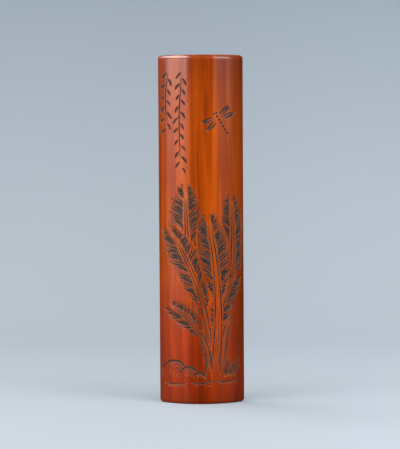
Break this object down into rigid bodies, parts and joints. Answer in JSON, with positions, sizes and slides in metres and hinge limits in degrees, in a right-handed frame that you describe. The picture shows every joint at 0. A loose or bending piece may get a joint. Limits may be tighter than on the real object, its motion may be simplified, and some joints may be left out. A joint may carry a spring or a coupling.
{
  "type": "carved bamboo wrist rest",
  "caption": "Arched bamboo wrist rest, split from a culm and polished, with a carved picture of a leafy clump, willow and a dragonfly whose cuts hold dark ink.",
  "frame": {"origin": "middle of the box that holds the slab, at the end it stands on", "axes": "+Z along the grain from the standing end to the top end, +Y from the carved face to the desk side, +X to the right as the carved face is seen"},
  "size_m": [0.066, 0.016, 0.272],
  "materials": {
    "bamboo": "polished, aged red-brown",
    "ink": "dried, matt"
  },
  "bodies": {
    "root": {"bamboo_slab": "bamboo", "tall_leaf_ink": "ink", "right_leaf_ink": "ink", "left_leaf_ink": "ink", "low_leaf_ink": "ink", "front_leaf_ink": "ink", "drooping_leaf_ink": "ink", "stones_ink": "ink", "grass_ink": "ink", "ground_ink": "ink", "long_sprig_ink": "ink", "short_sprig_ink": "ink", "dragonfly_ink": "ink"}
  },
  "joints": []
}
